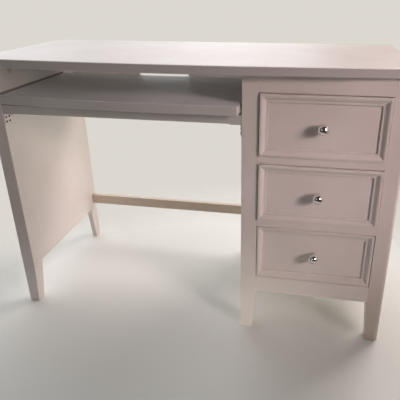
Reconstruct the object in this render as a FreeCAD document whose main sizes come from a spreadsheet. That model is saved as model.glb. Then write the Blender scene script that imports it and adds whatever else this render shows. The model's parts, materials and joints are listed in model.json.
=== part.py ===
"""A white-painted writing desk with a bow-fronted top, a pull-out keyboard tray and a drawer pedestal.

Millimetres. X runs along the desk with the drawers at the right, Y runs from the sitter to the wall and
Z runs up. The origin lies on the floor under the middle of the top.
"""
import FreeCAD, Part
import math
import os

import Sketcher

DRAWER_COUNT = 3
BALLS_PER_ROW = 5
# two ends closer than this are at one place
SAME_PLACE = 0.001

SIZES = {
    # top board
    "top_thickness": 22,
    "side_overhang": 12,
    "front_overhang": 32,
    "top_bow": 24,
    "top_corner_round": 8,
    "top_edge_round": 4,
    # legs, end panels and the frame between them
    "knee_width": 640,
    "frame_depth": 418,
    "floor_clearance": 128,
    "leg_width": 42,
    "leg_depth": 42,
    "leg_foot_width": 35,
    "leg_foot_depth": 28,
    "outer_leg_round": 10,
    "arris_round": 1.5,
    "panel_thickness": 16,
    "rear_foot_top_depth": 46,
    "rear_foot_floor_depth": 28,
    "stretcher_height": 35,
    "stretcher_rise": 19,
    "stretcher_thickness": 16,
    "stretcher_setback": 6,
    # pedestal
    "drawer_opening_width": 304,
    "drawer_opening_height": 159,
    "bottom_rail_height": 50,
    "drawer_rail_height": 20,
    "drawer_rail_depth": 60,
    "frieze_height": 43,
    "rail_thickness": 20,
    "back_thickness": 6,
    "back_setback": 8,
    "ledge_thickness": 10,
    "guide_height": 24,
    "kicker_height": 20,
    "stop_depth": 12,
    "stop_height": 18,
    # drawers
    "drawer_gap": 1.5,
    "drawer_ajar": 5,
    "drawer_run_clearance": 0.2,
    "drawer_side_clearance": 1,
    "front_thickness": 20,
    "front_edge_round": 1.5,
    "moulding_border": 5,
    "moulding_slope_width": 11,
    "moulding_slope_depth": 6,
    "moulding_flat": 4,
    "moulding_step": 3,
    "side_thickness": 12,
    "side_height": 118,
    "bottom_thickness": 5,
    "bottom_groove_depth": 5,
    "bottom_groove_height": 10,
    # knobs
    "knob_ball_radius": 14,
    "knob_projection": 32,
    "knob_rose_radius": 8,
    "knob_rose_height": 2.5,
    "knob_neck_radius": 4.5,
    "knob_bore_depth": 14,
    "knob_screw_radius": 2,
    "knob_screw_reach": 12,
    "knob_screw_head_radius": 4,
    "knob_screw_head_height": 2.6,
    "thread_clearance": 0.05,
    "screw_hole_clearance": 0.3,
    # keyboard tray, its slides and the rails round it
    "tray_headroom": 72,
    "tray_thickness": 23,
    "tray_depth": 345,
    "tray_setback": 2,
    "tray_corner_round": 6,
    "tray_edge_round": 3,
    "tray_side_gap": 3.5,
    "tray_lip": 5,
    "rebate_end_clearance": 2,
    "tray_rail_gap": 2,
    "tray_rail_height": 26,
    "tray_rail_thickness": 28,
    "back_rail_height": 138,
    "cable_slot_width": 180,
    "cable_slot_height": 44,
    "cable_slot_drop": 48,
    "slide_length": 300,
    "slide_inset": 10,
    "slide_height": 16,
    "slide_thickness": 10,
    "slide_gauge": 1.2,
    "slide_lap": 1.6,
    "slide_travel": 220,
    "ball_diameter": 2.9,
    "ball_clearance": 0.05,
    "cage_gauge": 0.5,
    "cage_clearance": 0.4,
    "cage_end_clearance": 1,
    # corner brackets and fittings
    "bracket_leaf": 30,
    "bracket_width": 24,
    "bracket_gauge": 2,
    "bracket_bend": 1.5,
    "bracket_inset": 2,
    "bracket_screw_margin": 6,
    "bracket_screw_spacing": 12,
    "wood_screw_radius": 1.5,
    "wood_screw_length": 12,
    "wood_screw_head_radius": 2.8,
    "wood_screw_head_height": 1.6,
    "cam_radius": 7.5,
    "cam_depth": 12,
    "cam_drop": 18,
    "cam_end_distance": 16,
    "cam_bolt_radius": 3,
    "cam_bolt_reach": 11,
    "fitting_clearance": 0.1,
    # how far a cut runs past the face it opens
    "overrun": 2,
}

# Where the middle of each half of the ogee lies, as shares of that half's width and depth.
OGEE_WIDTH_SHARE = 0.53
OGEE_DEPTH_SHARE = 0.39

doc = FreeCAD.newDocument("writing_desk")
sheet = doc.addObject("Spreadsheet::Sheet", "sizes")
for row, (alias, number) in enumerate(SIZES.items(), start=1):
    sheet.set(f"A{row}", alias)
    sheet.set(f"B{row}", str(number))
    sheet.setAlias(f"B{row}", alias)
doc.recompute()
nodes = []


class Size:
    """A length that carries its number and the sheet formula behind it, so sums of sizes stay bound."""

    def __init__(self, number, formula):
        self.number = number
        self.formula = formula

    def __add__(self, other):
        other = as_size(other)
        return Size(self.number + other.number, f"({self.formula} + {other.formula})")

    def __sub__(self, other):
        other = as_size(other)
        return Size(self.number - other.number, f"({self.formula} - {other.formula})")

    def __mul__(self, other):
        other = as_size(other)
        return Size(self.number * other.number, f"({self.formula} * {other.formula})")

    def __truediv__(self, other):
        other = as_size(other)
        return Size(self.number / other.number, f"({self.formula} / {other.formula})")

    def __neg__(self):
        return Size(-self.number, f"(0 - {self.formula})")


def as_size(value):
    return value if isinstance(value, Size) else Size(value, str(value))


def root(size):
    return Size(math.sqrt(size.number), f"sqrt({size.formula})")


class Sheet:
    """The sheet's cells by name, each as a bound size."""

    def __getattr__(self, alias):
        return Size(SIZES[alias], f"sizes.{alias}")


s = Sheet()


# Helpers

def bind(item, path, size):
    item.setExpression(path, as_size(size).formula)


def place(item, x, y, z):
    for axis, size in zip("xyz", (x, y, z)):
        bind(item, f"Placement.Base.{axis}", size)


def node(item, label):
    """Makes an object one of the desk's pieces, under its own name."""
    item.Label = label
    nodes.append(item)
    return item


def new_body(name):
    return doc.addObject("PartDesign::Body", f"{name}_body")


def sketch_on(body, role):
    """Adds an empty sketch on one of the body's own origin planes."""
    plane = next(feature for feature in body.Origin.OriginFeatures if feature.Role == role)
    sketch = body.newObject("Sketcher::SketchObject", f"{body.Name}_sketch")
    sketch.AttachmentSupport = [(plane, "")]
    sketch.MapMode = "FlatFace"
    return sketch


def pin(sketch, edge, end, spot):
    """Fixes one end of a sketch edge at a spot given in sizes."""
    for kind, size in zip(("DistanceX", "DistanceY"), spot):
        size = as_size(size)
        constraint = sketch.addConstraint(Sketcher.Constraint(kind, -1, 1, edge, end, size.number))
        sketch.setExpression(f"Constraints[{constraint}]", size.formula)


def draw(sketch, corners):
    """Draws a closed outline of (x, y) corners. A third item is a spot that an arc to the next one passes."""
    spots = [FreeCAD.Vector(as_size(c[0]).number, as_size(c[1]).number, 0) for c in corners]
    ends = []
    for index, corner in enumerate(corners):
        start = spots[index]
        end = spots[(index + 1) % len(spots)]
        if len(corner) == 2:
            ends.append((sketch.addGeometry(Part.LineSegment(start, end), False), 1, 2))
            continue
        middle = FreeCAD.Vector(as_size(corner[2][0]).number, as_size(corner[2][1]).number, 0)
        edge = sketch.addGeometry(Part.Arc(start, middle, end), False)
        turns_left = (middle - start).cross(end - middle).z > 0
        ends.append((edge, 1, 2) if turns_left else (edge, 2, 1))
        point = sketch.addGeometry(Part.Point(middle), True)
        pin(sketch, point, 1, corner[2])
        sketch.addConstraint(Sketcher.Constraint("PointOnObject", point, 1, edge))
    for (edge, _, end), (following, start, _) in zip(ends, ends[1:] + ends[:1]):
        sketch.addConstraint(Sketcher.Constraint("Coincident", edge, end, following, start))
    for (edge, start, _), corner in zip(ends, corners):
        pin(sketch, edge, start, corner)
    return sketch


def rectangle(sketch, low, high):
    return draw(sketch, [low, (high[0], low[1]), high, (low[0], high[1])])


def pad(body, sketch, length, reverse=False):
    feature = body.newObject("PartDesign::Pad", f"{body.Name}_pad")
    feature.Profile = sketch
    feature.Reversed = reverse
    bind(feature, "Length", length)
    return feature


def has_cut(feature):
    """Works a cut out and makes sure that it took something away."""
    doc.recompute()
    if feature.Shape.Volume > feature.BaseFeature.Shape.Volume - SAME_PLACE:
        raise RuntimeError(f"{feature.Name} cut nothing")
    return feature


def pocket(body, sketch, depth, reverse=False):
    """Cuts a sketch into the body."""
    feature = body.newObject("PartDesign::Pocket", f"{body.Name}_pocket")
    feature.Profile = sketch
    feature.Reversed = reverse
    bind(feature, "Length", depth)
    return has_cut(feature)


def sweep_cut(body, profile, path):
    """Cuts a profile all the way round a closed path, with mitred corners."""
    doc.recompute()
    feature = body.newObject("PartDesign::SubtractivePipe", f"{body.Name}_moulding")
    feature.Profile = profile
    feature.Spine = (path, [f"Edge{i}" for i in range(1, len(path.Geometry) + 1)])
    feature.Transition = "Right corner"
    # the sweep ends where it starts, and a boolean with a tolerance loses it there
    feature.FuzzyTolerance = 0
    return has_cut(feature)


def revolve(body, sketch):
    """Turns a sketch of (radius, height) corners about its upright axis."""
    feature = body.newObject("PartDesign::Revolution", f"{body.Name}_turning")
    feature.Profile = sketch
    feature.ReferenceAxis = (sketch, ["V_Axis"])
    return feature


def round_edges(body, radius, chosen):
    """Rounds each edge of the body that the given test picks."""
    doc.recompute()
    base = body.Tip
    names = [f"Edge{i}" for i, edge in enumerate(base.Shape.Edges, start=1) if chosen(edge)]
    fillet = body.newObject("PartDesign::Fillet", f"{body.Name}_round")
    fillet.Base = (base, names)
    bind(fillet, "Radius", radius)
    return fillet


def at(edge, **places):
    """Tells whether both ends of an edge lie at the given x, y or z."""
    return all(
        abs(getattr(vertex.Point, axis) - as_size(size).number) < SAME_PLACE
        for axis, size in places.items()
        for vertex in edge.Vertexes
    )


def runs_along(edge, axis):
    """Tells whether an edge is straight and parallel to an axis."""
    span = edge.BoundBox
    lengths = {"x": span.XLength, "y": span.YLength, "z": span.ZLength}
    along = lengths.pop(axis)
    return along > sum(lengths.values())


def board(label, low, high, rounded=""):
    """A plain board between two corners, with the arrises that run along one axis eased."""
    body = new_body(label)
    blank = body.newObject("PartDesign::AdditiveBox", f"{label}_blank")
    for side, near, far in zip(("Length", "Width", "Height"), low, high):
        bind(blank, side, far - near)
    if rounded:
        round_edges(body, s.arris_round, lambda edge: runs_along(edge, rounded))
    place(body, *low)
    return node(body, label)


TURNS = {
    "x": FreeCAD.Rotation(FreeCAD.Vector(0, 1, 0), 90),
    "-x": FreeCAD.Rotation(FreeCAD.Vector(0, 1, 0), -90),
    "y": FreeCAD.Rotation(FreeCAD.Vector(1, 0, 0), -90),
    "z": FreeCAD.Rotation(),
}


def rod(name, toward, start, radius, length):
    """A cylinder from a starting spot along an axis, as a fitting or as a drill."""
    item = doc.addObject("Part::Cylinder", name)
    item.Placement = FreeCAD.Placement(FreeCAD.Vector(), TURNS[toward])
    place(item, *start)
    bind(item, "Radius", radius)
    bind(item, "Height", length)
    return item


def drilled(label, base, drills):
    """The base with its drills cut out of it."""
    tool = doc.addObject("Part::Compound", f"{label}_drills")
    tool.Links = drills
    cut = doc.addObject("Part::Cut", f"{label}_drilled")
    cut.Base = base
    cut.Tool = tool
    return cut


def group(label, pieces):
    """Several separate solids of one kind as one piece of the desk."""
    item = doc.addObject("Part::Compound", f"{label}_group")
    item.Links = pieces
    return node(item, label)


# Main places along the desk, from front to back and upwards

top_length = s.side_overhang * 2 + s.leg_width * 3 + s.knee_width + s.drawer_opening_width
desk_depth = s.front_overhang + s.frame_depth
left = s.side_overhang - top_length / 2
knee_left = left + s.leg_width
knee_right = knee_left + s.knee_width
bay_left = knee_right + s.leg_width
bay_right = bay_left + s.drawer_opening_width
right = bay_right + s.leg_width
pedestal_inner_left = knee_right + s.panel_thickness
pedestal_inner_right = right - s.panel_thickness

top_front = -(desk_depth / 2)
front = top_front + s.front_overhang
back = front + s.frame_depth
panel_front = front + s.leg_depth
panel_depth = s.frame_depth - s.leg_depth
back_board_front = back - s.back_setback - s.back_thickness

drawer_pitch = s.drawer_opening_height + s.drawer_rail_height
lowest_floor = s.floor_clearance + s.bottom_rail_height
frieze_bottom = lowest_floor + drawer_pitch * DRAWER_COUNT - s.drawer_rail_height
under_top = frieze_bottom + s.frieze_height

tray_top = under_top - s.tray_headroom
tray_bottom = tray_top - s.tray_thickness
tray_rail_top = tray_bottom - s.tray_rail_gap
tray_rail_bottom = tray_rail_top - s.tray_rail_height

bow_radius = (top_length * top_length / 4 + s.top_bow * s.top_bow) / (s.top_bow * 2)


def bow(x):
    """The Y of the top's bowed front edge at a place along the desk."""
    return top_front + bow_radius - root(bow_radius * bow_radius - x * x)


def drawer_floor(number):
    """The underside of a drawer's opening, counted from the top drawer."""
    return lowest_floor + drawer_pitch * (DRAWER_COUNT - number)


# Legs: square posts whose feet taper on the two inner faces

def leg(label, x, mirrored, corner_round, free_inner_arris):
    """A post with one front arris rounded. The other is eased only where no rail is flush with it."""

    def across(size):
        return s.leg_width - size if mirrored else as_size(size)

    body = new_body(label)
    outline = [
        (across(0), 0),
        (across(s.leg_foot_width), 0),
        (across(s.leg_width), s.floor_clearance),
        (across(s.leg_width), under_top),
        (across(0), under_top),
    ]
    pad(body, draw(sketch_on(body, "XZ_Plane"), outline), s.leg_depth, reverse=True)
    wedge = [
        (s.leg_foot_depth, 0),
        (s.leg_depth + s.overrun, 0),
        (s.leg_depth + s.overrun, s.floor_clearance),
        (s.leg_depth, s.floor_clearance),
    ]
    pocket(body, draw(sketch_on(body, "YZ_Plane"), wedge), s.leg_width, reverse=True)
    round_edges(body, corner_round, lambda edge: at(edge, x=across(0), y=0))
    if free_inner_arris:
        round_edges(
            body,
            s.arris_round,
            lambda edge: at(edge, y=0) and runs_along(edge, "z") and at(edge, x=across(s.leg_width)),
        )
    place(body, x, front, 0)
    return node(body, label)


leg("left_front_leg", left, False, s.outer_leg_round, True)
leg("pedestal_left_front_leg", knee_right, False, s.arris_round, False)
leg("pedestal_right_front_leg", bay_right, True, s.outer_leg_round, False)


# End panels: boards whose rear lower corner runs on down as a tapered foot

def cam_places():
    """The two places along a panel where a cam fitting holds it to the top."""
    return panel_front + s.cam_end_distance, back - s.cam_end_distance


cams = []
cam_bolts = []
top_drills = []


def end_panel(label, x, cam_toward):
    body = new_body(label)
    outline = [
        (0, s.floor_clearance),
        (panel_depth - s.rear_foot_top_depth, s.floor_clearance),
        (panel_depth - s.rear_foot_floor_depth, 0),
        (panel_depth, 0),
        (panel_depth, under_top),
        (0, under_top),
    ]
    pad(body, draw(sketch_on(body, "YZ_Plane"), outline), s.panel_thickness)
    place(body, x, panel_front, 0)
    cam_face = x + s.panel_thickness if cam_toward == "-x" else x
    cam_height = under_top - s.cam_drop
    bolt_x = x + s.panel_thickness / 2
    bolt_foot = cam_height + s.cam_radius + s.fitting_clearance
    hole_radius = s.cam_bolt_radius + s.fitting_clearance
    drills = []
    for y in cam_places():
        seat = (cam_face, y, cam_height)
        bolt = (bolt_x, y, bolt_foot)
        number = len(cams)
        cams.append(rod(f"cam_{number}", cam_toward, seat, s.cam_radius, s.cam_depth))
        cam_bolts.append(
            rod(f"cam_bolt_{number}", "z", bolt, s.cam_bolt_radius, under_top - bolt_foot + s.cam_bolt_reach)
        )
        cam_hole_radius = s.cam_radius + s.fitting_clearance
        drills.append(rod(f"cam_bore_{number}", cam_toward, seat, cam_hole_radius, s.cam_depth))
        drills.append(rod(f"bolt_bore_{number}", "z", (bolt_x, y, cam_height), hole_radius, s.cam_drop))
        bore_depth = s.cam_bolt_reach + s.fitting_clearance
        top_drills.append(rod(f"top_bore_{number}", "z", (bolt_x, y, under_top), hole_radius, bore_depth))
    return node(drilled(label, body, drills), label)


end_panel("left_end_panel", knee_left - s.panel_thickness, "-x")
end_panel("pedestal_left_panel", knee_right, "-x")
end_panel("pedestal_right_panel", pedestal_inner_right, "x")
group("cam_locks", cams)
group("cam_bolts", cam_bolts)


# Top: a bow-fronted board with rounded front corners and eased edges

def bowed_board(name, low_x, high_x, setback, rear, thickness):
    """A board whose front follows the bow of the desk, set back by a given distance."""
    body = new_body(name)
    middle_x = (low_x + high_x) / 2
    corners = [
        (low_x, rear),
        (low_x, bow(low_x) + setback, (middle_x, bow(middle_x) + setback)),
        (high_x, bow(high_x) + setback),
        (high_x, rear),
    ]
    pad(body, draw(sketch_on(body, "XY_Plane"), corners), thickness)
    return body


def round_board(body, rear, thickness, corner_round, edge_round):
    """Rounds a bowed board's front corners, then its upper and lower edges, all but those at the rear."""
    round_edges(body, corner_round, lambda edge: runs_along(edge, "z") and not at(edge, y=rear))
    for face in (0, thickness):
        round_edges(body, edge_round, lambda edge: at(edge, z=face) and not at(edge, y=rear))


top_right = top_length / 2
flush = as_size(0)
top = bowed_board("desk_top", -top_right, top_right, flush, back, s.top_thickness)
round_board(top, back, s.top_thickness, s.top_corner_round, s.top_edge_round)
place(top, 0, 0, under_top)
node(drilled("desk_top", top, top_drills), "desk_top")


# Pedestal: rails between its legs, a back board, and runners that carry the drawers

def front_rail(label, bottom, height, depth):
    return board(label, (bay_left, front, bottom), (bay_right, front + depth, bottom + height), "x")


front_rail("frieze_rail", frieze_bottom, s.frieze_height, s.rail_thickness)
for label, drawer in (("upper_drawer_rail", 1), ("lower_drawer_rail", 2)):
    rail_bottom = drawer_floor(drawer) - s.drawer_rail_height
    front_rail(label, rail_bottom, s.drawer_rail_height, s.drawer_rail_depth)
front_rail("bottom_front_rail", s.floor_clearance, s.bottom_rail_height, s.rail_thickness)
board(
    "pedestal_back_board",
    (pedestal_inner_left, back_board_front, s.floor_clearance),
    (pedestal_inner_right, back_board_front + s.back_thickness, under_top),
)

guide_width = s.leg_width - s.panel_thickness
ledge_width = guide_width + s.drawer_side_clearance + s.side_thickness
runner_front = front + s.drawer_rail_depth


def runner(label, x, hand, floor):
    """An L-shaped runner: a ledge under the drawer side and a guide beside it. Hand is -1 on the right."""
    body = new_body(label)
    guide_top = s.ledge_thickness + s.guide_height
    outline = [
        (0, 0),
        (ledge_width * hand, 0),
        (ledge_width * hand, s.ledge_thickness),
        (guide_width * hand, s.ledge_thickness),
        (guide_width * hand, guide_top),
        (0, guide_top),
    ]
    pad(body, draw(sketch_on(body, "XZ_Plane"), outline), back_board_front - runner_front, reverse=True)
    place(body, x, runner_front, floor - s.ledge_thickness)
    return node(body, label)


stops = []


def drawer_stop(name, x, floor):
    """A block on the runner, against the back board, that the drawer side closes on."""
    stop = doc.addObject("Part::Box", name)
    bind(stop, "Length", s.side_thickness)
    bind(stop, "Width", s.stop_depth)
    bind(stop, "Height", s.stop_height)
    place(stop, x, back_board_front - s.stop_depth, floor)
    return stop


drawer_left = bay_left + s.drawer_side_clearance
drawer_right = bay_right - s.drawer_side_clearance
for drawer in range(1, DRAWER_COUNT + 1):
    level = drawer_floor(drawer)
    runner(f"drawer_{drawer}_left_runner", pedestal_inner_left, 1, level)
    runner(f"drawer_{drawer}_right_runner", pedestal_inner_right, -1, level)
    stops.append(drawer_stop(f"stop_{drawer}_left", drawer_left, level))
    stops.append(drawer_stop(f"stop_{drawer}_right", drawer_right - s.side_thickness, level))
group("drawer_stops", stops)
kicker_top = frieze_bottom + s.kicker_height
board(
    "left_kicker",
    (pedestal_inner_left, panel_front, frieze_bottom),
    (pedestal_inner_left + ledge_width, back_board_front, kicker_top),
)
board(
    "right_kicker",
    (pedestal_inner_right - ledge_width, panel_front, frieze_bottom),
    (pedestal_inner_right, back_board_front, kicker_top),
)


# Drawers: an inset front with a mitred ogee moulding round a sunk panel, and a grooved box behind it

front_width = s.drawer_opening_width - s.drawer_gap * 2
front_height = s.drawer_opening_height - s.drawer_gap * 2
field_recess = s.moulding_slope_depth + s.moulding_step
field_thickness = s.front_thickness - field_recess
moulding_width = s.moulding_border + s.moulding_slope_width + s.moulding_flat
side_length = s.frame_depth - s.front_thickness - s.back_setback - s.back_thickness - s.stop_depth
bay_middle = (bay_left + bay_right) / 2


def drawer_front(label, y, floor):
    body = new_body(label)
    half_width = front_width / 2
    half_height = front_height / 2
    blank = sketch_on(body, "XZ_Plane")
    rectangle(blank, (-half_width, -half_height), (half_width, half_height))
    pad(body, blank, s.front_thickness, reverse=True)
    round_edges(body, s.front_edge_round, lambda edge: at(edge, y=0))

    slope_top = s.moulding_border - half_height
    slope_middle = slope_top + s.moulding_slope_width / 2
    slope_foot = slope_top + s.moulding_slope_width
    flat_end = slope_foot + s.moulding_flat
    half_slope_width = s.moulding_slope_width / 2
    half_slope_depth = s.moulding_slope_depth / 2
    brow = (half_slope_depth * OGEE_DEPTH_SHARE, slope_top + half_slope_width * OGEE_WIDTH_SHARE)
    hollow = (
        s.moulding_slope_depth - half_slope_depth * OGEE_DEPTH_SHARE,
        slope_foot - half_slope_width * OGEE_WIDTH_SHARE,
    )
    waste = sketch_on(body, "YZ_Plane")
    draw(waste, [
        (-s.overrun, slope_top),
        (0, slope_top, brow),
        (half_slope_depth, slope_middle, hollow),
        (s.moulding_slope_depth, slope_foot),
        (s.moulding_slope_depth, flat_end),
        (-s.overrun, flat_end),
    ])
    path = sketch_on(body, "XZ_Plane")
    run = half_width - s.moulding_border
    draw(path, [(0, slope_top), (run, slope_top), (run, -slope_top), (-run, -slope_top), (-run, slope_top)])
    sweep_cut(body, waste, path)

    field = sketch_on(body, "XZ_Plane")
    rectangle(field, (moulding_width - half_width, flat_end), (half_width - moulding_width, -flat_end))
    pocket(body, field, field_recess)
    middle = (bay_middle, y, floor + s.drawer_opening_height / 2)
    place(body, *middle)
    hole_radius = s.knob_screw_radius + s.screw_hole_clearance
    hole = rod(f"{label}_screw_hole", "y", middle, hole_radius, s.front_thickness)
    return node(drilled(label, body, [hole]), label)


def drawer_side(label, x, hand, y, floor):
    """A side board with a groove for the drawer's bottom on its inner face."""
    body = new_body(label)
    groove_top = s.bottom_groove_height + s.bottom_thickness
    groove_floor = s.side_thickness - s.bottom_groove_depth
    outline = [
        (0, 0),
        (s.side_thickness * hand, 0),
        (s.side_thickness * hand, s.bottom_groove_height),
        (groove_floor * hand, s.bottom_groove_height),
        (groove_floor * hand, groove_top),
        (s.side_thickness * hand, groove_top),
        (s.side_thickness * hand, s.side_height),
        (0, s.side_height),
    ]
    pad(body, draw(sketch_on(body, "XZ_Plane"), outline), side_length, reverse=True)
    place(body, x, y, floor)
    return node(body, label)


def knob(label, y, height):
    """A turned ball knob on a small rose, bored from behind for its screw."""
    body = new_body(label)
    ball_middle = s.knob_projection - s.knob_ball_radius
    neck = s.knob_neck_radius
    ball_foot = ball_middle - root(s.knob_ball_radius * s.knob_ball_radius - neck * neck)
    bore = s.knob_screw_radius + s.thread_clearance
    outline = [
        (bore, 0),
        (s.knob_rose_radius, 0),
        (s.knob_rose_radius, s.knob_rose_height),
        (neck, s.knob_rose_height),
        (neck, ball_foot, (s.knob_ball_radius, ball_middle)),
        (0, s.knob_projection),
        (0, s.knob_bore_depth),
        (bore, s.knob_bore_depth),
    ]
    revolve(body, draw(sketch_on(body, "XZ_Plane"), outline))
    face_forward(body, y, height)
    return node(body, label)


def knob_screw(label, y, height):
    body = new_body(label)
    shoulder = -field_thickness
    head = shoulder - s.knob_screw_head_height
    outline = [
        (0, head),
        (s.knob_screw_head_radius, head),
        (s.knob_screw_head_radius, shoulder),
        (s.knob_screw_radius, shoulder),
        (s.knob_screw_radius, s.knob_screw_reach),
        (0, s.knob_screw_reach),
    ]
    revolve(body, draw(sketch_on(body, "XZ_Plane"), outline))
    face_forward(body, y, height)
    return node(body, label)


def face_forward(body, y, height):
    """Lays a turned piece on the sunk panel's middle, with its axis towards the sitter."""
    body.Placement = FreeCAD.Placement(FreeCAD.Vector(), FreeCAD.Rotation(FreeCAD.Vector(1, 0, 0), 90))
    place(body, bay_middle, y, height)


def drawer_box(name, y, floor):
    box_front = y + s.front_thickness
    box_back = box_front + side_length
    inner_left = drawer_left + s.side_thickness
    inner_right = drawer_right - s.side_thickness
    bottom = floor + s.bottom_groove_height
    bottom_top = bottom + s.bottom_thickness
    drawer_side(f"{name}_left_side", drawer_left, 1, box_front, floor)
    drawer_side(f"{name}_right_side", drawer_right, -1, box_front, floor)
    board(
        f"{name}_back",
        (inner_left, box_back - s.side_thickness, bottom_top),
        (inner_right, box_back, floor + s.side_height),
    )
    board(
        f"{name}_bottom",
        (inner_left - s.bottom_groove_depth, box_front, bottom),
        (inner_right + s.bottom_groove_depth, box_back, bottom_top),
    )


for drawer in range(1, DRAWER_COUNT + 1):
    level = drawer_floor(drawer)
    # the lowest drawer is pushed home, and the ones above it stand a little proud
    face = front if drawer == DRAWER_COUNT else front - s.drawer_ajar
    drawer_front(f"drawer_{drawer}_front", face, level)
    drawer_box(f"drawer_{drawer}", face, level + s.drawer_run_clearance)
    knob(f"drawer_{drawer}_knob", face + field_recess, level + s.drawer_opening_height / 2)
    knob_screw(f"drawer_{drawer}_knob_screw", face + field_recess, level + s.drawer_opening_height / 2)


# Kneehole: a low stretcher, a rail under the tray and a back rail with a cable slot

stretcher_back = back - s.stretcher_setback
stretcher_bottom = s.floor_clearance + s.stretcher_rise
board(
    "rear_stretcher",
    (knee_left, stretcher_back - s.stretcher_thickness, stretcher_bottom),
    (knee_right, stretcher_back, stretcher_bottom + s.stretcher_height),
    "x",
)
board(
    "tray_front_rail",
    (knee_left, front, tray_rail_bottom),
    (knee_right, front + s.tray_rail_thickness, tray_rail_top),
    "x",
)


def tray_back_rail():
    label = "tray_back_rail"
    body = new_body(label)
    rectangle_sketch = sketch_on(body, "XZ_Plane")
    rectangle(rectangle_sketch, (0, 0), (s.knee_width, s.back_rail_height))
    pad(body, rectangle_sketch, s.stretcher_thickness, reverse=True)
    slot_top = s.back_rail_height - s.cable_slot_drop
    slot_bottom = slot_top - s.cable_slot_height
    slot_middle = (slot_top + slot_bottom) / 2
    slot_left = (s.knee_width - s.cable_slot_width) / 2
    slot_right = slot_left + s.cable_slot_width
    end_radius = s.cable_slot_height / 2
    slot = [
        (slot_left + end_radius, slot_bottom),
        (slot_right - end_radius, slot_bottom, (slot_right, slot_middle)),
        (slot_right - end_radius, slot_top),
        (slot_left + end_radius, slot_top, (slot_left, slot_middle)),
    ]
    pocket(body, draw(sketch_on(body, "XZ_Plane"), slot), s.stretcher_thickness)
    place(body, knee_left, stretcher_back - s.stretcher_thickness, under_top - s.back_rail_height)
    return node(body, label)


tray_back_rail()


# Keyboard tray on a pair of ball slides, each a fixed channel, a moving channel and a cage of balls

tray_left = knee_left + s.tray_side_gap
tray_right = knee_right - s.tray_side_gap
tray_middle = (tray_left + tray_right) / 2
tray_back = bow(tray_middle) + s.tray_setback + s.tray_depth
slide_front = front + s.slide_inset
rebate_front = slide_front - s.rebate_end_clearance
rebate_height = s.tray_thickness - s.tray_lip
slide_bottom = tray_bottom + (rebate_height - s.slide_height) / 2


def keyboard_tray():
    """A bowed board rebated along its sides, so that a lip hides the slides and the front runs full width."""
    label = "keyboard_tray"
    tray = bowed_board(label, tray_left, tray_right, s.tray_setback, tray_back, s.tray_thickness)
    round_board(tray, tray_back, s.tray_thickness, s.tray_corner_round, s.tray_edge_round)
    for outer, inner in (
        (tray_left - s.overrun, knee_left + s.slide_thickness),
        (knee_right - s.slide_thickness, tray_right + s.overrun),
    ):
        rebate = sketch_on(tray, "XY_Plane")
        rectangle(rebate, (outer, rebate_front), (inner, tray_back + s.overrun))
        pocket(tray, rebate, rebate_height, reverse=True)
    place(tray, 0, 0, tray_bottom)
    return node(tray, label)


keyboard_tray()

ball_race = s.ball_diameter + s.ball_clearance * 2
lower_ball = s.slide_gauge + ball_race / 2
upper_ball = s.slide_height - lower_ball
ball_middle = s.slide_thickness / 2
cage_length = s.slide_length - s.slide_travel - s.cage_end_clearance * 2
cage_front = slide_front + s.slide_travel / 2 + s.cage_end_clearance


def channel(name, x, hand, y, length, corners):
    """A length of bent channel with its section drawn from the end panel towards the tray."""
    body = new_body(name)
    outline = [(across * hand, up) for across, up in corners]
    pad(body, draw(sketch_on(body, "XZ_Plane"), outline), length, reverse=True)
    place(body, x, y, slide_bottom)
    return body


def outer_section():
    gauge = s.slide_gauge
    lip = s.slide_thickness - s.slide_lap
    return [
        (as_size(0), 0),
        (lip, 0),
        (lip, gauge),
        (gauge, gauge),
        (gauge, s.slide_height - gauge),
        (lip, s.slide_height - gauge),
        (lip, s.slide_height),
        (as_size(0), s.slide_height),
    ]


def inner_section():
    gauge = s.slide_gauge
    low = gauge + ball_race
    high = s.slide_height - low
    lip = gauge + s.slide_lap
    web = s.slide_thickness - gauge
    return [
        (lip, low),
        (s.slide_thickness, low),
        (s.slide_thickness, high),
        (lip, high),
        (lip, high - gauge),
        (web, high - gauge),
        (web, low + gauge),
        (lip, low + gauge),
    ]


def cage_section():
    web = s.slide_gauge + s.cage_clearance
    web_inner = web + s.cage_gauge
    lip = s.slide_thickness - s.slide_lap - s.cage_clearance
    half = s.cage_gauge / 2
    return [
        (web, lower_ball - half),
        (lip, lower_ball - half),
        (lip, lower_ball + half),
        (web_inner, lower_ball + half),
        (web_inner, upper_ball - half),
        (lip, upper_ball - half),
        (lip, upper_ball + half),
        (web, upper_ball + half),
    ]


def ball_row():
    """Where the balls of one row lie along the desk's depth."""
    pitch = cage_length / BALLS_PER_ROW
    return [cage_front + pitch * step + pitch / 2 for step in range(BALLS_PER_ROW)]


def ball(name, x, y, z):
    item = doc.addObject("Part::Sphere", name)
    bind(item, "Radius", s.ball_diameter / 2)
    place(item, x, y, z)
    return item


cages = []
balls = []
for side, x, hand in (("left", knee_left, 1), ("right", knee_right, -1)):
    for member, section in (("outer", outer_section()), ("inner", inner_section())):
        label = f"tray_{side}_{member}_slide"
        node(channel(label, x, hand, slide_front, s.slide_length, section), label)
    strip = channel(f"{side}_cage", x, hand, cage_front, cage_length, cage_section())
    ball_x = x + ball_middle * hand
    hole_radius = s.ball_diameter / 2 + s.fitting_clearance
    holes = []
    for index, y in enumerate(ball_row()):
        foot = (ball_x, y, slide_bottom)
        holes.append(rod(f"{side}_ball_hole_{index}", "z", foot, hole_radius, s.slide_height))
        balls.append(ball(f"{side}_lower_ball_{index}", ball_x, y, slide_bottom + lower_ball))
        balls.append(ball(f"{side}_upper_ball_{index}", ball_x, y, slide_bottom + upper_ball))
    cages.append(drilled(f"{side}_cage", strip, holes))
group("tray_ball_cages", cages)
group("tray_slide_balls", balls)


# Steel angle brackets under the ends of the tray's front rail, with their wood screws

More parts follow.
